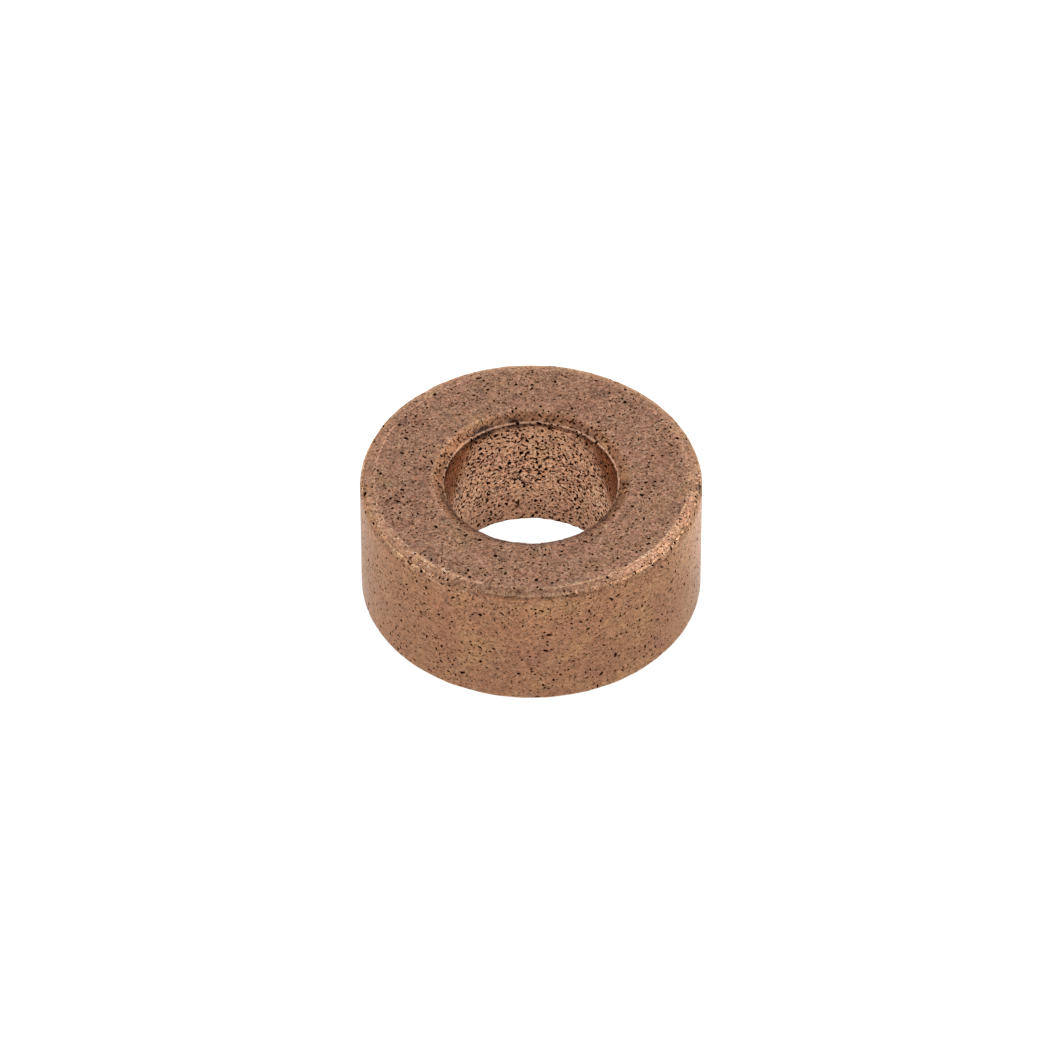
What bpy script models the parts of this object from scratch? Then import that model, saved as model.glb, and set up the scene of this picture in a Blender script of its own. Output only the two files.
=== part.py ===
"""Plain sleeve bushing of sintered bronze: one turned piece that stands on its lower end face.

Frame: metres, +Z along the bore's axis, origin at the centre of the lower end face.
"""
import math

import bpy
from mathutils import Vector

# Driving dimensions, in metres
BORE_DIAMETER = 0.009525
OUTER_DIAMETER = 0.01905
LENGTH = 0.0079375

# Chamfers: how far each one runs in along the end face, and how far along the wall
UPPER_OUTER_CHAMFER = (0.00074, 0.00020)
UPPER_BORE_CHAMFER = (0.00069, 0.00040)
LOWER_OUTER_CHAMFER = (0.00036, 0.00010)
LOWER_BORE_CHAMFER = (0.00036, 0.00012)

# Radii that soften a chamfer's edge with the end face, and its edge with the wall
UPPER_FACE_EDGE_RADIUS = 0.0010
LOWER_FACE_EDGE_RADIUS = 0.0006
UPPER_OUTER_WALL_EDGE_RADIUS = 0.00038
UPPER_BORE_WALL_EDGE_RADIUS = 0.00025
LOWER_WALL_EDGE_RADIUS = 0.00015

STEPS_AROUND = 96
ARC_SEGMENTS = 2

BRONZE_COLOUR = (0.38, 0.21, 0.125, 1.0)
BRONZE_ROUGHNESS = 0.42
BRONZE_METALLIC = 0.85


def clear_scene():
    """Remove every object that the file opens with."""
    for scene_object in list(bpy.data.objects):
        bpy.data.objects.remove(scene_object, do_unlink=True)


def bronze_material():
    """Sintered bronze: a dull brown-gold metal."""
    material = bpy.data.materials.new("sintered_bronze")
    material.use_nodes = True
    shader = material.node_tree.nodes["Principled BSDF"]
    shader.inputs["Base Color"].default_value = BRONZE_COLOUR
    shader.inputs["Roughness"].default_value = BRONZE_ROUGHNESS
    shader.inputs["Metallic"].default_value = BRONZE_METALLIC
    return material


def section_corners():
    """The wall's section as (radius, height) corners, each with the radius that softens it.

    They run down the outer wall, in along the lower face, up the bore and out along the upper face.
    """
    bore = BORE_DIAMETER / 2
    outer = OUTER_DIAMETER / 2
    return [
        ((outer - UPPER_OUTER_CHAMFER[0], LENGTH), UPPER_FACE_EDGE_RADIUS),
        ((outer, LENGTH - UPPER_OUTER_CHAMFER[1]), UPPER_OUTER_WALL_EDGE_RADIUS),
        ((outer, LOWER_OUTER_CHAMFER[1]), LOWER_WALL_EDGE_RADIUS),
        ((outer - LOWER_OUTER_CHAMFER[0], 0.0), LOWER_FACE_EDGE_RADIUS),
        ((bore + LOWER_BORE_CHAMFER[0], 0.0), LOWER_FACE_EDGE_RADIUS),
        ((bore, LOWER_BORE_CHAMFER[1]), LOWER_WALL_EDGE_RADIUS),
        ((bore, LENGTH - UPPER_BORE_CHAMFER[1]), UPPER_BORE_WALL_EDGE_RADIUS),
        ((bore + UPPER_BORE_CHAMFER[0], LENGTH), UPPER_FACE_EDGE_RADIUS),
    ]


def corner_arc(before, corner, after, radius):
    """Points of the arc that rounds one corner of the section."""
    back = (before - corner).normalized()
    ahead = (after - corner).normalized()
    half_angle = back.angle(ahead) / 2
    tangent_length = radius / math.tan(half_angle)
    centre = corner + (back + ahead).normalized() * radius / math.sin(half_angle)
    first = (corner + back * tangent_length - centre).normalized()
    last = (corner + ahead * tangent_length - centre).normalized()
    steps = range(ARC_SEGMENTS + 1)
    return [centre + first.slerp(last, step / ARC_SEGMENTS) * radius for step in steps]


def section_outline():
    """The whole section as one closed outline of (radius, height) points."""
    corners = [(Vector(place), radius) for place, radius in section_corners()]
    outline = []
    for index, (corner, radius) in enumerate(corners):
        before = corners[index - 1][0]
        after = corners[(index + 1) % len(corners)][0]
        outline.extend(corner_arc(before, corner, after, radius))
    return outline


def turned_sleeve(name, collection):
    """The section turned once around the bore's axis."""
    outline = section_outline()
    vertices = [(point.x, 0.0, point.y) for point in outline]
    edges = [(index, (index + 1) % len(outline)) for index in range(len(outline))]
    mesh = bpy.data.meshes.new(name)
    mesh.from_pydata(vertices, edges, [])
    sleeve = bpy.data.objects.new(name, mesh)
    collection.objects.link(sleeve)

    screw = sleeve.modifiers.new("turn", "SCREW")
    screw.axis = "Z"
    screw.angle = math.tau
    screw.screw_offset = 0.0
    screw.steps = STEPS_AROUND
    screw.render_steps = STEPS_AROUND
    screw.use_merge_vertices = False
    screw.use_smooth_shade = True
    return sleeve


def main():
    clear_scene()
    collection = bpy.data.collections.new("bronze_sleeve_bushing")
    bpy.context.scene.collection.children.link(collection)
    sleeve = turned_sleeve("bushing_sleeve", collection)
    sleeve.data.materials.append(bronze_material())


main()
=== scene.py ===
import math

import bpy
import numpy as np
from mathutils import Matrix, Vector
from mathutils.geometry import delaunay_2d_cdt


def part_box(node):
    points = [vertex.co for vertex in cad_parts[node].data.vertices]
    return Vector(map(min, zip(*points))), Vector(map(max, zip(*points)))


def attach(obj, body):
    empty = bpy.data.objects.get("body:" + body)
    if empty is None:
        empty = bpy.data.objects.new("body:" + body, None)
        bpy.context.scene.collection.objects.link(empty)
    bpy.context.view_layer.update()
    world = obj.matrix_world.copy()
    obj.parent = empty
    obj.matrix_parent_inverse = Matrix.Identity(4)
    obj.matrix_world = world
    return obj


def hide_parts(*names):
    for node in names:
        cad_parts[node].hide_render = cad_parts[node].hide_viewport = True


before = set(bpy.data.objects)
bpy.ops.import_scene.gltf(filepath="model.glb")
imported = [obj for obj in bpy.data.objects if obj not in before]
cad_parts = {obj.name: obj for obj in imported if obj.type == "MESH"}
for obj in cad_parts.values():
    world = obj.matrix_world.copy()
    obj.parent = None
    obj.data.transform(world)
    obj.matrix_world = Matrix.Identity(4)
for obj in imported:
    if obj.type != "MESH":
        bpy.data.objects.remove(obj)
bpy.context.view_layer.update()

MM = 0.001
SLEEVE_NODE = "bushing_sleeve"

# ---------------------------------------------------------------------------------------------
# The sleeve's size, from the frame, and its edges, as in the CAD part
# ---------------------------------------------------------------------------------------------
OUTER_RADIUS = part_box(SLEEVE_NODE)[1][0]
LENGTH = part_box(SLEEVE_NODE)[1][2]
BORE_RADIUS = min(math.hypot(v.co.x, v.co.y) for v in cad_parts[SLEEVE_NODE].data.vertices)
MIDDLE_RADIUS = (OUTER_RADIUS + BORE_RADIUS) / 2
BORE_STRIP_RADIUS = BORE_RADIUS * 1.1  # only the bore's strips have a smaller mean radius

# Chamfers: how far each one runs in along the end face, and how far along the wall
UPPER_OUTER_CHAMFER = (0.74 * MM, 0.20 * MM)
UPPER_BORE_CHAMFER = (0.69 * MM, 0.40 * MM)
LOWER_OUTER_CHAMFER = (0.36 * MM, 0.10 * MM)
LOWER_BORE_CHAMFER = (0.36 * MM, 0.12 * MM)

# Radii that soften a chamfer's edge with the end face, and its edge with the wall
UPPER_FACE_EDGE_RADIUS = 1.00 * MM
LOWER_FACE_EDGE_RADIUS = 0.60 * MM
UPPER_OUTER_WALL_EDGE_RADIUS = 0.38 * MM
UPPER_BORE_WALL_EDGE_RADIUS = 0.25 * MM
LOWER_WALL_EDGE_RADIUS = 0.15 * MM
ARC_SAMPLES = 17

# ---------------------------------------------------------------------------------------------
# The surface's mesh
# ---------------------------------------------------------------------------------------------
COLUMNS = 160                      # vertices round each row that follows an edge
ROWS_PER_ARC = 4
ROW_GAP = 0.02 * MM                # rows nearer than this are one row
FILL_SPACING = 0.50 * MM           # the coarsest that the mesh gets between pores
FILL_JITTER = 0.3                  # how far the vertices there stray, as a share of that
FILL_FROM_ROWS = 0.06 * MM
FILL_FROM_PORES = 0.10 * MM
RADIUS_SAMPLES = 50                # for a strip's mean radius
WHOLE_HULL = 0                     # Blender's number for a triangulation of the whole outline
SAME_POINT = 1e-7
WELD_STEP = 1e-6 * MM
SEED = 417

# Open pores: how many per square millimetre on each kind of surface
PORES_PER_MM2 = {"wall": 7.5, "chamfer": 11.0, "mouth": 20.0, "face": 12.0, "bore": 36.0}

# The bore has fewer pores towards both its ends: the distances from that end between which they
# thicken to their full number, and their share nearer to it
BORE_FOOT, BORE_FOOT_SHARE = (0.80 * MM, 2.40 * MM), 0.55
BORE_HEAD, BORE_HEAD_SHARE = (0.35 * MM, 1.50 * MM), 0.40

PORE_CLUSTERING = 1.1              # how strongly the pores gather in clusters
PORE_CLUSTER_RANGE = (0.20, 2.50)  # the least and most, against their mean number
WIDEST_OVER_MEAN = 1.3             # a strip's widest radius is under this many times its mean
BORE_PORE_SCALE = 1.12
RIM_PORE_SCALE = 1.25
PORE_RADIUS_MEDIAN = 0.046 * MM
PORE_RADIUS_SPREAD = 0.36
PORE_RADIUS_RANGE = (0.030 * MM, 0.125 * MM)
PORE_STRETCH = 0.8                 # spread of how far an outline is drawn out
PORE_WAVES = (0.16, 0.12, 0.08)    # spreads of an outline's waves: two, three and four round it
PORE_LEAST_SIZE = 0.5              # of an outline's radius where the waves draw it in
PORE_CORNERS = (5, 10)             # the fewest and the most corners of an outline
PORE_CORNERS_BASE = 3.6            # to which a pore adds one for each such step in its radius:
PORE_CORNER_STEP = 0.020 * MM
PORE_CORNER_JITTER = 0.2
PORE_WITH_FLOOR_RADIUS = 0.068 * MM    # a pore under this ends in a point
PORE_FLOOR_SHARE = 0.66
PORE_DEPTH_SHARE = 1.25
PORE_DEPTH_RANGE = (0.75, 1.30)
PORE_GAP = 0.012 * MM

# Unevenness left by pressing and handling, as heights off the turned shape
WALL_RELIEF = 0.0025 * MM
EDGE_RELIEF = 0.011 * MM
RAGGED_RELIEF = 0.020 * MM         # along the two edges of the bore
RAGGED_REACH = 0.45 * MM
FINE_CREST, RAGGED_CREST = 1.0, 0.5    # waves are cut off flat at these heights
SLOPE_STEP = 0.004 * MM            # for measuring how the skin slopes


def unit(vector):
    return vector / np.linalg.norm(vector)


def section_corners():
    """The wall's section as (radius, height) corners, each with the radius that softens it.

    They run down the outer wall, in along the lower face, up the bore and out along the upper face.
    """
    return [
        ((OUTER_RADIUS - UPPER_OUTER_CHAMFER[0], LENGTH), UPPER_FACE_EDGE_RADIUS),
        ((OUTER_RADIUS, LENGTH - UPPER_OUTER_CHAMFER[1]), UPPER_OUTER_WALL_EDGE_RADIUS),
        ((OUTER_RADIUS, LOWER_OUTER_CHAMFER[1]), LOWER_WALL_EDGE_RADIUS),
        ((OUTER_RADIUS - LOWER_OUTER_CHAMFER[0], 0.0), LOWER_FACE_EDGE_RADIUS),
        ((BORE_RADIUS + LOWER_BORE_CHAMFER[0], 0.0), LOWER_FACE_EDGE_RADIUS),
        ((BORE_RADIUS, LOWER_BORE_CHAMFER[1]), LOWER_WALL_EDGE_RADIUS),
        ((BORE_RADIUS, LENGTH - UPPER_BORE_CHAMFER[1]), UPPER_BORE_WALL_EDGE_RADIUS),
        ((BORE_RADIUS + UPPER_BORE_CHAMFER[0], LENGTH), UPPER_FACE_EDGE_RADIUS),
    ]


def corner_arc(before, corner, after, radius):
    """Points and outward normals of the arc that rounds one corner."""
    back = unit(before - corner)
    ahead = unit(after - corner)
    half_angle = math.acos(back @ ahead) / 2
    tangent_length = radius / math.tan(half_angle)
    centre = corner + unit(back + ahead) * radius / math.sin(half_angle)
    first = (corner + back * tangent_length - centre) / radius
    last = (corner + ahead * tangent_length - centre) / radius
    sweep = math.pi - 2 * half_angle
    step = np.linspace(0, 1, ARC_SAMPLES)[:, None]
    normals = (np.sin((1 - step) * sweep) * first + np.sin(step * sweep) * last) / math.sin(sweep)
    return centre + normals * radius, normals


# Places in that list of the edges with the end faces, and of the four edges with a wall
FACE_EDGES = (0, 3, 4, 7)
UPPER_OUTER_EDGE, LOWER_OUTER_EDGE, LOWER_BORE_EDGE, UPPER_BORE_EDGE = 1, 2, 5, 6
OUTER_EDGES = (UPPER_OUTER_EDGE, LOWER_OUTER_EDGE)
BORE_EDGES = (LOWER_BORE_EDGE, UPPER_BORE_EDGE)

# Thin lines that run round the edges with a wall: on which edges, how far up the edge's arc, as a
# share of the arc from the wall to the chamfer, and how far the line reaches to both sides
LIP_PLACE = 0.80
LINE_PLACES = {
    "lip": (BORE_EDGES, LIP_PLACE, 0.095 * MM),
    "throat": (BORE_EDGES, 0.0, 0.13 * MM),
    "shoulder": (OUTER_EDGES, 1.0, 0.18 * MM),
    "crease": ((UPPER_OUTER_EDGE,), 0.38, 0.16 * MM),
}

# Stretches of the turn, as an azimuth and a reach in degrees: the rim's front, with little wear and
# painted highlight; where painted highlight falls on the rim, its shoulder, the bore's lit back
# stretch with its chamfer's edge, and the bore's lip; where the ridge along the end face's outer edge
# is worn and highlit; and the front stretch of the bore's chamfer, which gets a painted reflection
STRETCHES = {
    "rim_front": (270, 22),
    "highlit_rim": (233, 17),
    "highlit_shoulder": (85, 80),
    "lit_mouth": (95, 75),
    "highlit_lip": (30, 65),
    "highlit_ridge": (278, 62),
    "mouth_front_reflection": (270, 38),
}

# Grimy places on the upper chamfers: azimuth and reach in degrees, and strength
MOUTH_STAINS = (
    (125, 9, 2.4),
    (100, 8, 1.3),
    (52, 8, 1.0),
    (165, 5, 0.8),
    (206, 22, 0.9),
    (330, 24, 0.9),
)
RIM_STAINS = ((-4, 2.2, 1.2), (214, 2.0, 0.6), (286, 2.5, 0.5))
MOUTH_STAIN_REACH = 0.46 * MM      # out from the lip

# How high these would rise if they weren't cut off at 1, which gives each one a flat top
ARC_PEAK = 1.6
LINE_PEAK = 1.15
STAIN_PEAK = 1.4
HIGHLIT_RIDGE_PEAK = 1.6


class Section:
    """The closed outline of the wall, measured by the distance along it."""

    def __init__(self):
        corners = [(np.array(place), radius) for place, radius in section_corners()]
        points, normals = [], []
        for index, (corner, radius) in enumerate(corners):
            before = corners[index - 1][0]
            after = corners[(index + 1) % len(corners)][0]
            arc, arc_normals = corner_arc(before, corner, after, radius)
            points.append(arc)
            normals.append(arc_normals)
        self.points = np.vstack(points + [points[0][:1]])
        self.normals = np.vstack(normals + [normals[0][:1]])
        steps = np.linalg.norm(np.diff(self.points, axis=0), axis=1)
        self.distance = np.concatenate([[0.0], np.cumsum(steps)])
        self.total = self.distance[-1]
        firsts = np.arange(len(corners)) * ARC_SAMPLES
        self.arcs = [(self.distance[k], self.distance[k + ARC_SAMPLES - 1]) for k in firsts]

    def at(self, along, values):
        return np.interp(np.mod(along, self.total), self.distance, values)

    def radius(self, along):
        return self.at(along, self.points[:, 0])

    def on_arc(self, index, share):
        """A place on a wall's edge, as a share of the arc from the wall to the chamfer."""
        start, end = self.arcs[index]
        if index in (UPPER_OUTER_EDGE, LOWER_BORE_EDGE):
            start, end = end, start
        return start + (end - start) * share

    def middle_between_arcs(self, index):
        """The distance to the middle of the straight stretch that follows an arc."""
        return (self.arcs[index][1] + self.arcs[index + 1][0]) / 2


section = Section()

LINES = {
    name: [(section.on_arc(edge, place), reach) for edge in edges]
    for name, (edges, place, reach) in LINE_PLACES.items()
}


class Relief:
    """A smooth random height over the surface, repeating round the sleeve and round its section."""

    def __init__(self, rng, waves, longest, shortest):
        length = np.exp(rng.uniform(math.log(shortest), math.log(longest), waves))
        heading = rng.uniform(0, math.tau, waves)
        self.round_count = np.round(np.cos(heading) * math.tau * MIDDLE_RADIUS / length)
        self.along_count = np.round(np.sin(heading) * section.total / length)
        self.phase = rng.uniform(0, math.tau, waves)
        self.weight = np.sqrt(length / longest) / math.sqrt(waves / 2)

    def at(self, around, along):
        total = np.zeros(np.shape(around))
        for n, m, phase, weight in zip(self.round_count, self.along_count, self.phase, self.weight):
            total += weight * np.cos(n * around + m * math.tau * along / section.total + phase)
        return total


rng = np.random.default_rng(SEED)
fine_relief = Relief(rng, waves=40, longest=2.4 * MM, shortest=0.7 * MM)
cluster_relief = Relief(rng, waves=30, longest=5.0 * MM, shortest=1.2 * MM)
ragged_relief = Relief(rng, waves=40, longest=1.3 * MM, shortest=0.45 * MM)

# A place belongs to a wall or a face by how nearly its normal points that way: where that starts,
# and how much further it turns until the place belongs wholly
FACING_FROM, FACING_SPAN = 0.90, 0.09


def facing(lean):
    return np.clip((lean - FACING_FROM) / FACING_SPAN, 0, 1)


def peaked(apart, reach, peak):
    """1 in the middle, then falling straight to 0 at the reach. A peak over 1 is cut off flat."""
    return np.clip(peak - peak * apart / reach, 0, 1)


def kind_shares(along):
    """How much of each kind of surface a place on the section is.

    The mouth is the chamfer at either end of the bore.
    """
    outward = section.at(along, section.normals[:, 0])
    upward = np.abs(section.at(along, section.normals[:, 1]))
    wall = facing(outward)
    bore = facing(-outward)
    face = facing(upward)
    chamfer = 1 - wall - bore - face
    near_bore = section.radius(along) < MIDDLE_RADIUS
    return {
        "wall": wall,
        "bore": bore,
        "face": face,
        "chamfer": chamfer * ~near_bore,
        "mouth": chamfer * near_bore,
    }


def height(around, along):
    """The unevenness of the skin, which only ever lies under the turned shape."""
    shares = kind_shares(along)
    edge = shares["chamfer"] + shares["mouth"]
    swing = WALL_RELIEF + (EDGE_RELIEF - WALL_RELIEF) * edge
    lift = swing * np.minimum(fine_relief.at(around, along) - FINE_CREST, 0.0)
    ragged = sum(
        peaked(np.abs(along - section.on_arc(bore_edge, 0.5)), RAGGED_REACH, 1.0)
        for bore_edge in BORE_EDGES
    )
    ragged_lift = np.minimum(ragged_relief.at(around, along) - RAGGED_CREST, 0.0)
    return lift + RAGGED_RELIEF * ragged * ragged_lift


def surface(around, along, depth):
    """Places on the sleeve's skin, or at a depth under it, and the skin's normals there."""
    out_r = section.at(along, section.normals[:, 0])
    out_z = section.at(along, section.normals[:, 1])
    radius = section.radius(along)
    lift = height(around, along)
    slope_along = (height(around, along + SLOPE_STEP) - lift) / SLOPE_STEP
    slope_round = (height(around + SLOPE_STEP / radius, along) - lift) / SLOPE_STEP
    r = radius + out_r * (lift - depth)
    z = section.at(along, section.points[:, 1]) + out_z * (lift - depth)
    cosine, sine = np.cos(around), np.sin(around)
    places = np.stack([r * cosine, r * sine, z], axis=1)
    normal_r = out_r - slope_along * out_z
    normal_z = out_z + slope_along * out_r
    normals = np.stack(
        [
            normal_r * cosine + slope_round * sine,
            normal_r * sine - slope_round * cosine,
            normal_z,
        ],
        axis=1,
    )
    return places, normals / np.linalg.norm(normals, axis=1)[:, None]


# ---------------------------------------------------------------------------------------------
# Pores
# ---------------------------------------------------------------------------------------------
class Patch:
    """Half a turn of one strip of the skin: the outer wall, a face or the bore, out to mid-chamfer."""

    def __init__(self, start, end, half):
        self.start, self.end = start, end
        self.first, self.last = half * math.pi, (half + 1) * math.pi
        self.mean_radius = section.radius(np.linspace(start, end, RADIUS_SAMPLES)).mean()


def patches():
    """The eight patches: two halves of each of the four strips between the chamfers' middles."""
    upper_outer = section.middle_between_arcs(0)
    lower_outer = section.middle_between_arcs(2)
    lower_bore = section.middle_between_arcs(4)
    upper_bore = section.middle_between_arcs(6)
    strips = [
        (upper_outer, lower_outer),
        (lower_outer, lower_bore),
        (lower_bore, upper_bore),
        (upper_bore, upper_outer + section.total),
    ]
    return [Patch(start, end, half) for start, end in strips for half in (0, 1)]


def pore_density(around, along):
    """Pores per square metre at a place, thicker in some clusters than between them."""
    shares = kind_shares(along)
    rise = section.at(along, section.points[:, 1])
    for share, (low, high), away in (
        (BORE_FOOT_SHARE, BORE_FOOT, rise),
        (BORE_HEAD_SHARE, BORE_HEAD, LENGTH - rise),
    ):
        thickened = np.clip((away - low) / (high - low), 0, 1)
        shares["bore"] = shares["bore"] * (share + (1 - share) * thickened)
    density = sum(shares[kind] * PORES_PER_MM2[kind] for kind in shares) / MM**2
    cluster = 1 + PORE_CLUSTERING * cluster_relief.at(around, along)
    return density * np.clip(cluster, *PORE_CLUSTER_RANGE)


class Pore:
    """One open pore: an uneven outline with a smaller floor, or a point, under it."""

    def __init__(self, rng, around, along, radius):
        self.around, self.along, self.radius = around, along, radius
        stretch = 1 + abs(rng.normal(0, PORE_STRETCH))
        turn = rng.uniform(0, math.pi)
        wobble = rng.normal(0, PORE_WAVES)
        wobble_phase = rng.uniform(0, math.tau, len(PORE_WAVES))
        corners = round(PORE_CORNERS_BASE + radius / PORE_CORNER_STEP)
        count = int(np.clip(corners, *PORE_CORNERS))
        jitter = rng.uniform(-PORE_CORNER_JITTER, PORE_CORNER_JITTER, count)
        angle = (np.arange(count) + jitter) * math.tau / count
        size = np.ones(count)
        for k in range(len(PORE_WAVES)):
            size += wobble[k] * np.cos((k + 2) * angle + wobble_phase[k])
        size = np.maximum(size, PORE_LEAST_SIZE)
        a = radius * size * np.cos(angle) * math.sqrt(stretch)
        b = radius * size * np.sin(angle) / math.sqrt(stretch)
        self.outline = np.stack(
            [a * math.cos(turn) - b * math.sin(turn), a * math.sin(turn) + b * math.cos(turn)],
            axis=1,
        )
        self.reach = np.linalg.norm(self.outline, axis=1).max()
        self.depth = radius * PORE_DEPTH_SHARE * rng.uniform(*PORE_DEPTH_RANGE)

    def floor(self):
        """The outline of its floor, or the one point that a small pore ends in."""
        if self.radius < PORE_WITH_FLOOR_RADIUS:
            return np.zeros((1, 2))
        return self.outline * PORE_FLOOR_SHARE


def scatter_pores(patch, rng):
    """Pores at random places in a patch, the largest placed first, none touching another."""
    densest = max(PORES_PER_MM2.values()) / MM**2 * PORE_CLUSTER_RANGE[1]
    width = (patch.last - patch.first) * patch.mean_radius
    area = width * (patch.end - patch.start)
    tries = rng.poisson(densest * area * WIDEST_OVER_MEAN)
    around = rng.uniform(patch.first, patch.last, tries)
    along = rng.uniform(patch.start, patch.end, tries)
    wanted = pore_density(around, along) * section.radius(along) / patch.mean_radius
    kept = rng.uniform(0, 1, tries) < wanted / (densest * WIDEST_OVER_MEAN)
    around, along = around[kept], along[kept]
    radii = PORE_RADIUS_MEDIAN * np.exp(rng.normal(0, PORE_RADIUS_SPREAD, len(around)))
    radii *= 1 + (RIM_PORE_SCALE - 1) * kind_shares(along)["chamfer"]
    if patch.mean_radius < BORE_STRIP_RADIUS:
        radii *= BORE_PORE_SCALE
    radii = np.sort(np.clip(radii, *PORE_RADIUS_RANGE))[::-1]
    pores = []
    taken = np.zeros((len(radii), 3))
    for u, s, radius in zip(around, along, radii):
        pore = Pore(rng, u, s, radius)
        margin = pore.reach + PORE_GAP
        local = float(section.radius(s))
        if min(u - patch.first, patch.last - u) * local < margin:
            continue
        if min(s - patch.start, patch.end - s) < margin:
            continue
        near = taken[: len(pores)]
        apart = np.hypot((near[:, 0] - u) * local, near[:, 1] - s) - near[:, 2]
        if len(pores) and apart.min() < margin:
            continue
        taken[len(pores)] = (u, s, pore.reach)
        pores.append(pore)
    return pores


# ---------------------------------------------------------------------------------------------
# From patches to one closed mesh
# ---------------------------------------------------------------------------------------------
def spaced(first, last, spacing):
    """Even places from first to last, no further apart than the spacing."""
    return np.linspace(first, last, max(2, int(math.ceil((last - first) / spacing)) + 1))


def rows_between(start, end):
    """Distances along the section where a row of vertices follows an edge's curve or a line on it."""
    rows = []
    for arc_start, arc_end in section.arcs:
        rows.extend(np.linspace(arc_start, arc_end, ROWS_PER_ARC))
    for line in LINES.values():
        for place, reach in line:
            rows.extend([place - reach, place, place + reach])
    rows = np.unique(np.round(np.array(rows) / ROW_GAP)) * ROW_GAP
    rows = np.concatenate([rows, rows + section.total])
    return sorted(row for row in rows if start < row < end)


def side_places(start, end):
    """Distances along the section of the vertices on a patch's side."""
    stops = [start] + rows_between(start, end) + [end]
    places = [start]
    for low, high in zip(stops, stops[1:]):
        places.extend(spaced(low, high, FILL_SPACING)[1:])
    return np.array(places)


def clear_of_pores(points, pores, gap):
    """The points that are further than the gap from every pore."""
    if not pores:
        return points
    clear = np.ones(len(points), bool)
    for pore in pores:
        local = float(section.radius(pore.along))
        apart = np.hypot((points[:, 0] - pore.around) * local, points[:, 1] - pore.along)
        clear &= apart > pore.reach + gap
    return points[clear]


def triangulated(patch, rng):
    """Vertices of a patch as (around, along, depth) and triangles between them."""
    pores = scatter_pores(patch, rng)
    columns = np.linspace(patch.first, patch.last, COLUMNS // 2 + 1)
    rows = rows_between(patch.start, patch.end)
    side = side_places(patch.start, patch.end)
    loops = []
    border = [(u, patch.start) for u in columns[:-1]] + [(patch.last, s) for s in side[:-1]]
    border += [(u, patch.end) for u in columns[:0:-1]] + [(patch.first, s) for s in side[:0:-1]]
    points = [(u, s, 0.0) for u, s in border]
    loops.append(range(len(points)))

    inner = np.array([(u, row) for row in rows for u in columns[1:-1]])
    grid_s = spaced(patch.start, patch.end, FILL_SPACING)[1:-1]
    grid_u = spaced(patch.first, patch.last, FILL_SPACING / patch.mean_radius)[1:-1]
    fill = np.array([(u, s) for u in grid_u for s in grid_s])
    jitter = rng.uniform(-FILL_JITTER, FILL_JITTER, fill.shape) * FILL_SPACING
    fill += jitter / [patch.mean_radius, 1.0]
    off_rows = np.abs(fill[:, 1][:, None] - np.array(rows)).min(axis=1) > FILL_FROM_ROWS
    inner = clear_of_pores(inner, pores, PORE_GAP)
    fill = clear_of_pores(fill[off_rows], pores, FILL_FROM_PORES)
    points += [(u, s, 0.0) for u, s in np.vstack([inner, fill])]

    for pore in pores:
        local = float(section.radius(pore.along))
        for ring, depth in ((pore.outline, 0.0), (pore.floor(), pore.depth)):
            first = len(points)
            points += [(pore.around + a / local, pore.along + b, depth) for a, b in ring]
            if len(ring) > 1:
                loops.append(range(first, len(points)))

    points = np.array(points)
    flat = [Vector((u * patch.mean_radius / MM, s / MM)) for u, s, depth in points]
    edges = []
    for loop in loops:
        ids = list(loop)
        edges += list(zip(ids, ids[1:] + ids[:1]))
    _, _, faces, origins, _, _ = delaunay_2d_cdt(flat, edges, [], WHOLE_HULL, SAME_POINT, True)
    source = np.array([ids[0] for ids in origins])
    return points[source], np.array(faces), len(pores)


def sleeve_mesh():
    """The sleeve's whole skin with its pores open: vertices, triangles, and places in the patches."""
    vertices, triangles, uvs = [], [], []
    shift = 0
    pore_count = 0
    for index, patch in enumerate(patches()):
        points, faces, pores = triangulated(patch, np.random.default_rng(SEED + index + 1))
        across = (points[:, 0] - patch.first) / (patch.last - patch.first)
        up = (points[:, 1] - patch.start) / (patch.end - patch.start)
        uvs.append(np.stack([across, up, np.full(len(points), float(index))], axis=1))
        vertices.append(points)
        triangles.append(faces[:, ::-1] + shift)
        shift += len(points)
        pore_count += pores
    vertices, triangles, uvs = np.vstack(vertices), np.vstack(triangles), np.vstack(uvs)
    print("sleeve:", pore_count, "pores,", len(triangles), "triangles")
    return vertices, triangles, uvs


# ---------------------------------------------------------------------------------------------
# The sleeve as an object
# ---------------------------------------------------------------------------------------------
# Which patches share each row of the texture map, and the gap between patches
TEXTURE_ROWS = ((0,), (1,), (4, 5), (2,), (3,), (6,), (7,))
TEXTURE_GAP = 0.006


def texture_places():
    """Each patch's corner and size in the texture map, with rows as tall as their patches."""
    all_patches = patches()
    heights = [all_patches[row[0]].end - all_patches[row[0]].start for row in TEXTURE_ROWS]
    scale = (1 - TEXTURE_GAP * (len(TEXTURE_ROWS) + 1)) / sum(heights)
    places = {}
    bottom = TEXTURE_GAP
    for row, tall in zip(TEXTURE_ROWS, heights):
        wide = (1 - TEXTURE_GAP * (len(row) + 1)) / len(row)
        for column, patch in enumerate(row):
            left = TEXTURE_GAP + column * (wide + TEXTURE_GAP)
            places[patch] = (left, bottom, wide, tall * scale)
        bottom += tall * scale + TEXTURE_GAP
    return np.array([places[index] for index in range(len(all_patches))])


def arc_share(along, index):
    """1 on the middle of one edge's arc, falling to 0 at its two ends."""
    start, end = section.arcs[index]
    middle, half = (start + end) / 2, (end - start) / 2
    apart = np.abs(np.mod(along - middle + section.total / 2, section.total) - section.total / 2)
    return peaked(apart, half, ARC_PEAK)


def line_share(along, name):
    """1 in the middle of one of the thin lines, falling to 0 at its sides."""
    return sum(peaked(np.abs(along - place), reach, LINE_PEAK) for place, reach in LINES[name])


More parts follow.
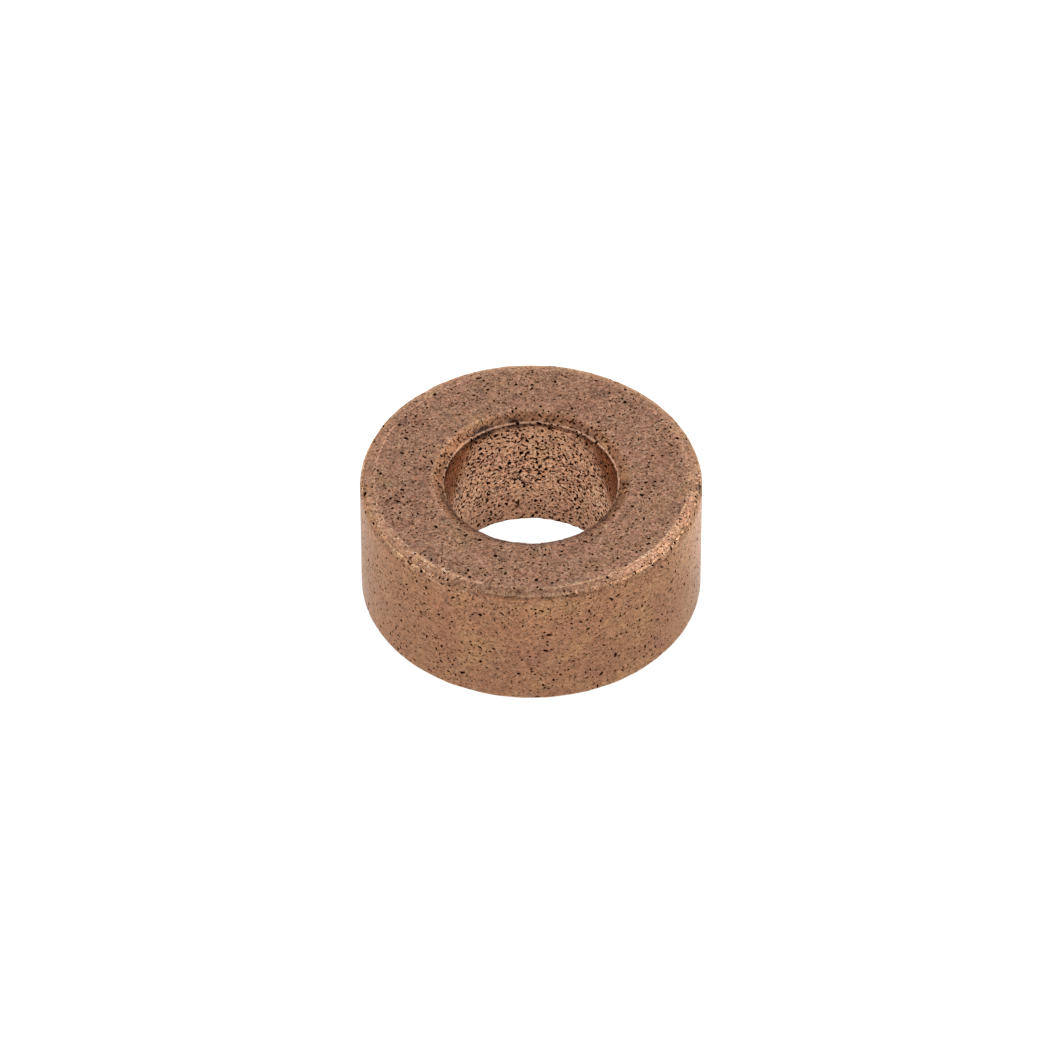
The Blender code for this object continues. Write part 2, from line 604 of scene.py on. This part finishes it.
def stretch_share(around, azimuth, reach):
    """1 in the middle of a stretch of the turn, falling off to both sides."""
    apart = np.mod(around - math.radians(azimuth) + math.pi, math.tau) - math.pi
    return np.exp(-((apart / math.radians(reach)) ** 2))


def stain_share(around, along):
    """How grimy a place is: a stain's full strength in its middle, and less to both sides."""
    lip = section.on_arc(UPPER_BORE_EDGE, LIP_PLACE)
    near_lip = peaked(np.abs(along - lip), MOUTH_STAIN_REACH, STAIN_PEAK)
    upper = section.at(along, section.points[:, 1]) > LENGTH / 2
    on_rim = kind_shares(along)["chamfer"] * upper
    total = np.zeros(len(around))
    for place, stains in ((near_lip, MOUTH_STAINS), (on_rim, RIM_STAINS)):
        for azimuth, reach, strength in stains:
            total += strength * stretch_share(around, azimuth, reach) * place
    return total


def vertex_shares(around, along, depth):
    """What the material reads at each vertex, by name.

    Each is 1 where its surface, line, stretch or mark is full, and 0 where it is absent. A stain may
    pass 1.
    """
    shares = kind_shares(along)
    shares.update({name: line_share(along, name) for name in LINES})
    shares.update({name: stretch_share(around, *place) for name, place in STRETCHES.items()})
    shares["rim_off_front"] = 1 - shares.pop("rim_front")
    shares["highlit_ridge"] = np.minimum(HIGHLIT_RIDGE_PEAK * shares["highlit_ridge"], 1)
    shares["mouth_front_reflection"] = shares["mouth_front_reflection"] * shares["mouth"]
    shares["ridge"] = sum(arc_share(along, edge) for edge in FACE_EDGES)
    shares["stain"] = stain_share(around, along)
    shares["near_bore"] = (section.radius(along) < MIDDLE_RADIUS).astype(float)
    shares["pit"] = (depth > 0).astype(float)
    return shares


def make_sleeve(name):
    """The sleeve as one closed mesh, with its normals, texture places and the material's shares."""
    points, triangles, uvs = sleeve_mesh()
    places, normals = surface(points[:, 0], points[:, 1], points[:, 2])
    steps = np.round(places / WELD_STEP).astype(np.int64)
    _, first, shared = np.unique(steps, axis=0, return_index=True, return_inverse=True)
    shared = shared.reshape(-1)
    mesh = bpy.data.meshes.new(name)
    mesh.from_pydata(places[first].tolist(), [], shared[triangles].tolist())

    # Flat normals inside the pores, the skin's own normals everywhere else
    corners = places[triangles]
    flat = np.cross(corners[:, 1] - corners[:, 0], corners[:, 2] - corners[:, 0])
    flat /= np.linalg.norm(flat, axis=1)[:, None]
    inside = (points[:, 2][triangles] > 0).any(axis=1)
    corner_normals = np.where(inside[:, None, None], flat[:, None, :], normals[triangles])
    mesh.shade_smooth()
    mesh.normals_split_custom_set(corner_normals.reshape(-1, 3).tolist())

    boxes = texture_places()[uvs[:, 2].astype(int)]
    texture = boxes[:, :2] + uvs[:, :2] * boxes[:, 2:]
    layer = mesh.uv_layers.new(name="OFBake")
    layer.uv.foreach_set("vector", texture[triangles].astype(np.float32).ravel())

    for share, values in vertex_shares(*points[first].T).items():
        stored = mesh.attributes.new(share, "FLOAT", "POINT")
        stored.data.foreach_set("value", values.astype(np.float32))
    sleeve = bpy.data.objects.new(name, mesh)
    bpy.context.scene.collection.objects.link(sleeve)
    return sleeve


# ---------------------------------------------------------------------------------------------
# Sintered bronze
# ---------------------------------------------------------------------------------------------
CHAMFER_COLOUR = (0.375, 0.170, 0.086)
SURFACE_COLOURS = {
    "face": (0.458, 0.239, 0.149),
    "wall": (0.348, 0.166, 0.090),
    "bore": (0.450, 0.222, 0.125),
    "mouth": (0.380, 0.175, 0.090),
}
# Painted reflection: the front stretch of the bore's chamfer paler and greyer
MOUTH_REFLECTION_COLOUR = (0.510, 0.315, 0.240)
GOLDEN_COLOUR = (0.460, 0.260, 0.125)
RUDDY_COLOUR = (0.300, 0.125, 0.080)
# Painted glints: small highlights in the colour
GLINT_COLOUR = (0.900, 0.650, 0.460)
PATINA_COLOUR = (0.120, 0.088, 0.092)
# Painted shade towards the walls' lower ends and on the bore's sides, and painted light towards its
# head
FOOT_SHADE_COLOUR = (0.210, 0.100, 0.062)
HEAD_LIGHT_COLOUR = (0.640, 0.340, 0.200)
# Wear with painted highlight on the edges and the rim, and painted sparkles on it
WORN_AND_HIGHLIT_COLOUR = (0.860, 0.505, 0.280)
BARE_GLINT_COLOUR = (1.000, 0.800, 0.620)
# Painted shade along the crease under the rim and in the bore's throat
CREASE_SHADE_COLOUR = (0.140, 0.050, 0.034)
THROAT_SHADE_COLOUR = (0.170, 0.078, 0.045)
STAIN_COLOUR = (0.075, 0.042, 0.032)
# The bore's lip: burnished, with a painted highlight
LIP_BURNISH_AND_HIGHLIGHT_COLOUR = (1.000, 0.590, 0.385)
# Painted shade in the pore hollows and the fine specks
PORE_SHADE_COLOUR = (0.075, 0.013, 0.003)
FACE_PORE_SHADE_COLOUR = (0.105, 0.040, 0.020)
GRAZING_COLOUR = (1.000, 0.880, 0.770)

# Noises: features per millimetre, detail, roughness and offset
TINT_NOISE = (0.45, 3.0, 0.60, 21.7)
MOTTLE_NOISE = (3.6, 5.0, 0.72, 0.0)
CLOUD_NOISE = (0.9, 4.0, 0.65, 3.1)
PATCHY_NOISE = (2.1, 4.0, 0.70, 7.4)
GRIME_NOISE = (2.2, 3.0, 0.60, 11.3)
WORM_NOISE = (5.2, 1.0, 0.50, 1.7)
DENT_NOISE = (1.5, 4.0, 0.75, 5.5)
GRAINS_PER_MM, GLINTS_PER_MM, SPECKS_PER_MM = 8.5, 13.0, 5.0

# Where a noise, a cell's random number or a pit starts to count, and where it counts in full
GOLDEN_SPAN = (0.50, 0.68)
RUDDY_SPAN = (0.50, 0.32)
GLINT_SPAN = (0.80, 0.95)
CLOUD_SPAN = (0.50, 0.72)
PATCHY_SPAN = (0.40, 0.62)
GRIME_SPAN = (0.40, 0.60)
HOLLOW_SPAN = (0.0, 0.30)

# Amounts that differ by kind of surface: on the rest, and then on each kind named
GRAIN_CONTRAST = {"rest": 0.75, "wall": 0.62, "bore": 1.15}
MOTTLE_CONTRAST = {"rest": 2.00, "wall": 1.65, "bore": 2.75}
GLINT_SHARE = {"rest": 0.18, "face": 0.48, "bore": 0.62}
CLOUD_SHARE = {"rest": 0.25, "face": 0.35}
SPECK_SHARE = {"rest": 0.70, "wall": 0.60, "bore": 0.75}
ROUGHNESS = {"rest": 0.33, "face": 0.46, "bore": 0.20}

MOUTH_REFLECTION_SHARE = 0.9
TINT_SHARE = 0.45
DARKEST_TONE = 0.15

# Painted shade up the walls, and painted light at the bore's head: between which heights, and how much
# of it at the first and at the second
WALL_FOOT_SHADE = (0.15 * LENGTH, 0.95 * LENGTH, 0.22, 0.0)
BORE_FOOT_SHADE = (0.02 * LENGTH, 0.50 * LENGTH, 0.66, 0.0)
BORE_HEAD_LIGHT = (0.60 * LENGTH, 0.90 * LENGTH, 0.0, 0.45)
BORE_SIDE_SHADE = (0.30, 0.0)          # off the lit back stretch, and on it

# How much wear and painted highlight the metal shows, and how full the thin lines are. A pair holds
# the factors where a stretch, the patches or the grime is absent, and where it is full
RIDGE_WEAR_AND_SHEEN = (0.25, 1.00)
BORE_RIDGE_SHEEN = 0.55
CHAMFER_WEAR_AND_SHEEN, CHAMFER_WEAR_AND_SHEEN_TO_SHOULDER = 0.80, -0.60
RIM_WEAR_AND_SHEEN = (0.75, 1.00)
PATCHY_WEAR_AND_SHEEN = (0.15, 0.85)
HIGHLIT_RIM_SHEEN = (1.00, 1.60)
SHOULDER_PATCHY_SHEEN = (0.40, 0.75)
SHOULDER_RIM_SHEEN = (0.76, 0.16)
HIGHLIT_SHOULDER_SHEEN = 1.25
LIP_PATCHY_SHEEN = (0.80, 1.00)
HIGHLIT_LIP_SHEEN = (0.68, 1.00)
BARE_GLINT_SHARE = 0.9
CREASE_SHADE_SHARE = (0.0, 0.52)
THROAT_SHADE_SHARE = 0.66
GRIME_SHARE = (0.45, 0.92)

# Specks: between which of a cell's random numbers they grow, and from and up to which size, in
# cells. Then how soft their edges are, and how much noise makes a wormy one
SPECK_SIZES = (0.45, 1.0, 0.0, 0.30)
SPECK_EDGE = 0.10
WORM_FROM, WORM_FROM_IN_BORE = 0.655, -0.068
WORM_EDGE = 0.035
WORM_SHARE = 0.9

# What raises or lowers the roughness
CHAMFER_ROUGHER, MOUTH_ROUGHER, MOTTLE_ROUGHER, LIP_ROUGHER = -0.06, 0.14, 0.35, -0.06
PORE_ROUGHNESS = 0.95

# What the relief is made of, beside the mottle
GRAIN_RELIEF, SPECK_RELIEF, DENT_RELIEF = 0.35, -0.5, 8.0
RIDGE_DENTS = 0.8
BUMP_STRENGTH = 0.6
BUMP_DISTANCE = 0.020 * MM


class Nodes:
    """Short calls for building one material's nodes."""

    def __init__(self, material):
        self.tree = material.node_tree
        self.shader = self.tree.nodes["Principled BSDF"]

    def node(self, kind, **settings):
        made = self.tree.nodes.new(kind)
        for key, value in settings.items():
            setattr(made, key, value)
        return made

    def put(self, socket, value):
        """Feed a socket from another socket, a number or a colour."""
        if isinstance(value, bpy.types.NodeSocket):
            self.tree.links.new(value, socket)
        elif isinstance(value, tuple) and len(socket.default_value) == 4:
            socket.default_value = (*value, 1.0)
        else:
            socket.default_value = value

    def maths(self, operation, *values):
        made = self.node("ShaderNodeMath", operation=operation)
        for socket, value in zip(made.inputs, values):
            self.put(socket, value)
        return made.outputs[0]

    def times(self, first, *others):
        """Numbers multiplied together."""
        product = first
        for other in others:
            product = self.maths("MULTIPLY", product, other)
        return product

    def channel(self, colour):
        """One channel of a random colour, which is an even spread of numbers from 0 to 1."""
        made = self.node("ShaderNodeSeparateColor")
        self.put(made.inputs[0], colour)
        return made.outputs[0]

    def blend(self, share, first, second, mode="MIX"):
        """Two colours, mixed by a share."""
        made = self.node("ShaderNodeMix", data_type="RGBA", blend_type=mode)
        self.put(made.inputs["Factor"], share)
        self.put(made.inputs[6], first)
        self.put(made.inputs[7], second)
        return made.outputs[2]

    def between(self, share, first, second):
        """Two numbers, mixed by a share."""
        made = self.node("ShaderNodeMix", data_type="FLOAT")
        self.put(made.inputs["Factor"], share)
        self.put(made.inputs[2], first)
        self.put(made.inputs[3], second)
        return made.outputs[0]

    def span(self, value, low, high, to_low=0.0, to_high=1.0):
        """A value's place between two limits, eased and kept inside them."""
        made = self.node("ShaderNodeMapRange", interpolation_type="SMOOTHSTEP")
        for socket, number in zip(made.inputs, (value, low, high, to_low, to_high)):
            self.put(socket, number)
        return made.outputs[0]

    def noise(self, places, per_mm, detail, rough, offset):
        made = self.node("ShaderNodeTexNoise", noise_dimensions="4D")
        self.put(made.inputs["Vector"], places)
        self.put(made.inputs["W"], offset)
        self.put(made.inputs["Scale"], per_mm / MM)
        self.put(made.inputs["Detail"], detail)
        self.put(made.inputs["Roughness"], rough)
        return made.outputs["Fac"]

    def cells(self, places, per_mm):
        made = self.node("ShaderNodeTexVoronoi")
        self.put(made.inputs["Vector"], places)
        self.put(made.inputs["Scale"], per_mm / MM)
        return made


class Bronze(Nodes):
    """The sleeve's one material, laid over the shares that the mesh holds."""

    def __init__(self, material):
        super().__init__(material)
        self.places = self.node("ShaderNodeTexCoord").outputs["Object"]
        self.shares = {}
        grains = self.cells(self.places, GRAINS_PER_MM)
        self.grain = self.maths("SUBTRACT", self.channel(grains.outputs["Color"]), 0.5)
        self.mottle = self.noise(self.places, *MOTTLE_NOISE)
        self.uneven = self.maths("SUBTRACT", self.mottle, 0.5)
        sparks = self.cells(self.places, GLINTS_PER_MM)
        self.glint = self.span(self.channel(sparks.outputs["Color"]), *GLINT_SPAN)
        self.patchy = self.span(self.noise(self.places, *PATCHY_NOISE), *PATCHY_SPAN)
        self.speck = self.specks()
        self.hollow = self.span(self.share("pit"), *HOLLOW_SPAN)

    def share(self, name):
        """One of the shares that the mesh holds."""
        if name not in self.shares:
            made = self.node("ShaderNodeAttribute", attribute_name=name)
            self.shares[name] = made.outputs["Fac"]
        return self.shares[name]

    def amount(self, amounts):
        """An amount that differs by kind of surface."""
        total = amounts["rest"]
        for kind in amounts:
            if kind != "rest":
                total = self.between(self.share(kind), total, amounts[kind])
        return total

    def surfaces(self):
        """The tone of each kind of surface, and a painted reflection on the front of the bore's
        chamfer.
        """
        colour = CHAMFER_COLOUR
        for kind, tone in SURFACE_COLOURS.items():
            colour = self.blend(self.share(kind), colour, tone)
        return self.blend(self.times(self.share("mouth_front_reflection"), MOUTH_REFLECTION_SHARE), colour, MOUTH_REFLECTION_COLOUR)

    def tints(self, colour):
        """Broad golden and ruddy tints."""
        tint = self.noise(self.places, *TINT_NOISE)
        for span, tone in ((GOLDEN_SPAN, GOLDEN_COLOUR), (RUDDY_SPAN, RUDDY_COLOUR)):
            colour = self.blend(self.times(self.span(tint, *span), TINT_SHARE), colour, tone)
        return colour

    def powder(self, colour):
        """Powder grains, each a little lighter or darker than the next, finer mottle, and painted
        glints.
        """
        tone = self.maths("MULTIPLY_ADD", self.grain, self.amount(GRAIN_CONTRAST), 1.0)
        tone = self.maths("MULTIPLY_ADD", self.uneven, self.amount(MOTTLE_CONTRAST), tone)
        tone = self.maths("MAXIMUM", tone, DARKEST_TONE)
        colour = self.blend(1.0, colour, tone, "MULTIPLY")
        return self.blend(self.times(self.glint, self.amount(GLINT_SHARE)), colour, GLINT_COLOUR)

    def clouds(self, colour):
        """Oxide and oil in small clouds."""
        cloud = self.span(self.noise(self.places, *CLOUD_NOISE), *CLOUD_SPAN)
        return self.blend(self.times(cloud, self.amount(CLOUD_SHARE)), colour, PATINA_COLOUR)

    def shades(self, colour):
        """Painted shade: both walls darker towards the lower end, and the bore off its lit back
        stretch.

        Painted light: on that stretch the bore is lighter towards its head.
        """
        bore, lit_back = self.share("bore"), self.share("lit_mouth")
        split = self.node("ShaderNodeSeparateXYZ")
        self.put(split.inputs[0], self.places)
        rise = split.outputs["Z"]
        wall_foot = self.times(self.share("wall"), self.span(rise, *WALL_FOOT_SHADE))
        bore_foot = self.times(bore, self.span(rise, *BORE_FOOT_SHADE))
        bore_side = self.times(bore, self.between(lit_back, *BORE_SIDE_SHADE))
        bore_head = self.times(bore, self.span(rise, *BORE_HEAD_LIGHT), lit_back)
        colour = self.blend(self.maths("MAXIMUM", wall_foot, bore_foot), colour, FOOT_SHADE_COLOUR)
        colour = self.blend(bore_side, colour, FOOT_SHADE_COLOUR)
        return self.blend(bore_head, colour, HEAD_LIGHT_COLOUR)

    def wear_and_highlights(self, colour):
        """Wear, where handling and the sizing tool rub, and painted highlight: the end faces' edges,
        the rim and its shoulder.
        """
        rim = self.share("rim_off_front")
        off_mouth = self.maths("SUBTRACT", 1.0, self.share("mouth"))
        outer_ridge = self.between(self.share("highlit_ridge"), *RIDGE_WEAR_AND_SHEEN)
        bore_ridge = self.times(self.share("lit_mouth"), BORE_RIDGE_SHEEN)
        ridge = self.between(self.share("near_bore"), outer_ridge, bore_ridge)
        ridge = self.times(self.share("ridge"), off_mouth, ridge)
        slope = (self.share("shoulder"), CHAMFER_WEAR_AND_SHEEN_TO_SHOULDER, CHAMFER_WEAR_AND_SHEEN)
        slope = self.times(self.share("chamfer"), self.maths("MULTIPLY_ADD", *slope))
        worn_and_highlit = self.times(
            self.maths("MAXIMUM", ridge, self.times(slope, rim)),
            self.between(rim, *RIM_WEAR_AND_SHEEN),
            self.between(self.patchy, *PATCHY_WEAR_AND_SHEEN),
            self.between(self.share("highlit_rim"), *HIGHLIT_RIM_SHEEN),
        )
        shoulder_highlight = self.between(
            self.share("highlit_shoulder"),
            self.between(rim, *SHOULDER_RIM_SHEEN),
            HIGHLIT_SHOULDER_SHEEN,
        )
        shoulder_patches = self.between(self.patchy, *SHOULDER_PATCHY_SHEEN)
        worn_and_highlit = self.maths("MAXIMUM", worn_and_highlit, self.times(self.share("shoulder"), shoulder_patches, shoulder_highlight))
        colour = self.blend(worn_and_highlit, colour, WORN_AND_HIGHLIT_COLOUR)
        glint = self.times(worn_and_highlit, self.glint, BARE_GLINT_SHARE)
        return self.blend(glint, colour, BARE_GLINT_COLOUR)

    def lines(self, colour):
        """Painted shade in the rim's crease and the bore's throat, grimy places, and the bore's bare
        lip with painted highlight.
        """
        crease = self.between(self.share("rim_off_front"), *CREASE_SHADE_SHARE)
        grimy = self.span(self.noise(self.places, *GRIME_NOISE), *GRIME_SPAN)
        lip = self.times(
            self.between(self.patchy, *LIP_PATCHY_SHEEN),
            self.between(self.share("highlit_lip"), *HIGHLIT_LIP_SHEEN),
        )
        stain = self.times(self.share("stain"), self.between(grimy, *GRIME_SHARE))
        colour = self.blend(self.times(self.share("crease"), crease), colour, CREASE_SHADE_COLOUR)
        colour = self.blend(self.times(self.share("throat"), THROAT_SHADE_SHARE), colour, THROAT_SHADE_COLOUR)
        colour = self.blend(stain, colour, STAIN_COLOUR)
        return self.blend(self.times(self.share("lip"), lip), colour, LIP_BURNISH_AND_HIGHLIGHT_COLOUR)

    def specks(self):
        """Fine specks between the open pores: round, and wormy where the powder packed badly."""
        cells = self.cells(self.places, SPECKS_PER_MM)
        size = self.span(self.channel(cells.outputs["Color"]), *SPECK_SIZES)
        depth = self.maths("SUBTRACT", size, cells.outputs["Distance"])
        round_speck = self.times(self.span(depth, 0.0, SPECK_EDGE), self.amount(SPECK_SHARE))
        in_bore = self.maths("ADD", self.share("bore"), self.share("mouth"))
        worm_from = self.maths("MULTIPLY_ADD", in_bore, WORM_FROM_IN_BORE, WORM_FROM)
        depth = self.maths("SUBTRACT", self.noise(self.places, *WORM_NOISE), worm_from)
        worm = self.times(self.span(depth, 0.0, WORM_EDGE), WORM_SHARE)
        off_lip = self.maths("SUBTRACT", 1.0, self.share("lip"))
        return self.times(self.maths("MAXIMUM", round_speck, worm), off_lip)

    def pores(self, colour):
        """Painted shade: the fine specks, and the open pores' hollows, drawn dark."""
        pore = self.blend(self.share("face"), PORE_SHADE_COLOUR, FACE_PORE_SHADE_COLOUR)
        return self.blend(self.hollow, self.blend(self.speck, colour, pore), pore)

    def roughness(self):
        rough = self.amount(ROUGHNESS)
        for amount, rougher in (
            (self.share("chamfer"), CHAMFER_ROUGHER),
            (self.share("mouth"), MOUTH_ROUGHER),
            (self.uneven, MOTTLE_ROUGHER),
            (self.share("lip"), LIP_ROUGHER),
        ):
            rough = self.maths("MULTIPLY_ADD", amount, rougher, rough)
        dark = self.maths("MAXIMUM", self.hollow, self.speck)
        return self.between(dark, rough, PORE_ROUGHNESS)

    def relief(self):
        """Grain, and small dents where a chamfer was pressed and knocked."""
        chamfers = self.maths("ADD", self.share("chamfer"), self.share("mouth"))
        dented = self.maths("MAXIMUM", chamfers, self.times(self.share("ridge"), RIDGE_DENTS))
        dents = self.noise(self.places, *DENT_NOISE)
        relief = self.maths("MULTIPLY_ADD", self.grain, GRAIN_RELIEF, self.mottle)
        relief = self.maths("MULTIPLY_ADD", self.speck, SPECK_RELIEF, relief)
        relief = self.maths("MULTIPLY_ADD", dents, self.times(dented, DENT_RELIEF), relief)
        bump = self.node("ShaderNodeBump")
        bump.inputs["Strength"].default_value = BUMP_STRENGTH
        bump.inputs["Distance"].default_value = BUMP_DISTANCE
        self.put(bump.inputs["Height"], relief)
        return bump.outputs["Normal"]


def bronze_material():
    material = bpy.data.materials.new("sintered_bronze")
    material.use_nodes = True
    bronze = Bronze(material)
    colour = bronze.surfaces()
    for layer in (
        bronze.tints,
        bronze.powder,
        bronze.clouds,
        bronze.shades,
        bronze.wear_and_highlights,
        bronze.lines,
        bronze.pores,
    ):
        colour = layer(colour)
    inputs = bronze.shader.inputs
    bronze.put(inputs["Base Color"], colour)
    bronze.put(inputs["Roughness"], bronze.roughness())
    bronze.put(inputs["Normal"], bronze.relief())
    inputs["Metallic"].default_value = 1.0
    inputs["Specular Tint"].default_value = (*GRAZING_COLOUR, 1.0)
    return material


# ---------------------------------------------------------------------------------------------
# Floor, light and camera
# ---------------------------------------------------------------------------------------------
FLOOR_RADIUS = 1.2
FLOOR_SIDES = 64
FLOOR_GLOW = 0.97
BACKLIT_GLOW = 1.35                    # further back, and more so on the right
BACKLIT_TOWARDS = (0.35, 0.94, 0.0)
BACKLIT_FROM, BACKLIT_FULL = 1.0 * MM, 9.0 * MM
FLOOR_COLOUR = (0.12, 0.12, 0.12)
SKY_COLOUR = (0.66, 0.67, 0.70)

# The tent's light by the sine of the height above the horizon: a lit backdrop, the tent's sides and
# its open top
SKY_STEPS = ((0.0, 1.55), (0.13, 1.45), (0.34, 1.0), (0.77, 0.97), (0.97, 0.42))

CAMERA_ELEVATION = math.radians(44.07)
CAMERA_DISTANCE = 0.4557
CAMERA_LENS = 276.9
CAMERA_SENSOR = 36.0
CAMERA_SHIFT = (-0.0011, -0.0011)
CAMERA_CLIP = (0.01, 5.0)

# Soft boxes: azimuth and elevation in degrees, width, height and brightness. Azimuth 0 stands on
# the camera's side, and 90 on its right
SOFT_BOXES = {
    "right_soft_box": (88, 50, 0.14, 0.12, 3.6),
    "back_right_soft_box": (130, 52, 0.14, 0.10, 6.0),
    "left_soft_box": (-88, 50, 0.12, 0.10, 2.6),
    "back_left_soft_box": (-130, 52, 0.12, 0.08, 4.2),
}
SOFT_BOX_DISTANCE = 0.45


def make_floor():
    """A pale table, lit a little from beneath as a photographer's light table is."""
    mesh = bpy.data.meshes.new("floor")
    angles = np.linspace(0, math.tau, FLOOR_SIDES + 1)[:-1]
    ring = [(FLOOR_RADIUS * math.cos(a), FLOOR_RADIUS * math.sin(a), 0.0) for a in angles]
    mesh.from_pydata(ring, [], [range(len(ring))])
    floor = bpy.data.objects.new("floor", mesh)
    bpy.context.scene.collection.objects.link(floor)
    material = bpy.data.materials.new("pale_table")
    material.use_nodes = True
    table = Nodes(material)
    inputs = table.shader.inputs
    inputs["Base Color"].default_value = (*FLOOR_COLOUR, 1.0)
    inputs["Roughness"].default_value = 1.0
    inputs["Specular IOR Level"].default_value = 0.0
    inputs["Emission Color"].default_value = (1.0, 1.0, 1.0, 1.0)
    back = table.node("ShaderNodeVectorMath", operation="DOT_PRODUCT")
    table.put(back.inputs[0], table.node("ShaderNodeTexCoord").outputs["Object"])
    back.inputs[1].default_value = BACKLIT_TOWARDS
    limits = (BACKLIT_FROM, BACKLIT_FULL, FLOOR_GLOW, BACKLIT_GLOW)
    table.put(inputs["Emission Strength"], table.span(back.outputs["Value"], *limits))
    mesh.materials.append(material)


def make_sky():
    """The light tent, as a ramp of greys by height."""
    world = bpy.data.worlds.new("tent")
    world.use_nodes = True
    tree = world.node_tree
    direction = tree.nodes.new("ShaderNodeTexCoord")
    parts = tree.nodes.new("ShaderNodeSeparateXYZ")
    ramp = tree.nodes.new("ShaderNodeValToRGB")
    tree.links.new(direction.outputs["Generated"], parts.inputs[0])
    tree.links.new(parts.outputs["Z"], ramp.inputs["Fac"])
    tree.links.new(ramp.outputs["Color"], tree.nodes["Background"].inputs["Color"])
    steps = ramp.color_ramp.elements
    while len(steps) < len(SKY_STEPS):
        steps.new(0.5)
    for step, (place, share) in zip(steps, SKY_STEPS):
        step.position = place
        step.color = (*(share * part for part in SKY_COLOUR), 1.0)
    bpy.context.scene.world = world


def make_soft_box(name, azimuth, elevation, wide, tall, brightness):
    """A soft light aimed at the sleeve."""
    a, e = math.radians(azimuth), math.radians(elevation)
    towards = Vector((math.sin(a) * math.cos(e), -math.cos(a) * math.cos(e), math.sin(e)))
    data = bpy.data.lights.new(name, "AREA")
    data.shape = "RECTANGLE"
    data.size, data.size_y = wide, tall
    data.energy = brightness * math.pi * wide * tall
    lamp = bpy.data.objects.new(name, data)
    lamp.location = towards * SOFT_BOX_DISTANCE + Vector((0, 0, LENGTH / 2))
    lamp.rotation_mode = "QUATERNION"
    lamp.rotation_quaternion = towards.to_track_quat("Z", "Y")
    bpy.context.scene.collection.objects.link(lamp)


def make_camera():
    """The photograph's own view."""
    data = bpy.data.cameras.new("camera")
    data.lens = CAMERA_LENS
    data.sensor_width = CAMERA_SENSOR
    data.shift_x, data.shift_y = CAMERA_SHIFT
    data.clip_start, data.clip_end = CAMERA_CLIP
    camera = bpy.data.objects.new("camera", data)
    back = Vector((0, -math.cos(CAMERA_ELEVATION), math.sin(CAMERA_ELEVATION)))
    camera.location = Vector((0, 0, LENGTH / 2)) + back * CAMERA_DISTANCE
    camera.rotation_mode = "QUATERNION"
    camera.rotation_quaternion = back.to_track_quat("Z", "Y")
    bpy.context.scene.collection.objects.link(camera)
    bpy.context.scene.camera = camera


bpy.context.scene.view_settings.view_transform = "Standard"
make_camera()
make_floor()
make_sky()
for box_name, box in SOFT_BOXES.items():
    make_soft_box(box_name, *box)

sleeve = make_sleeve("sleeve")
sleeve.data.materials.append(bronze_material())
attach(sleeve, "root")
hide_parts(SLEEVE_NODE)
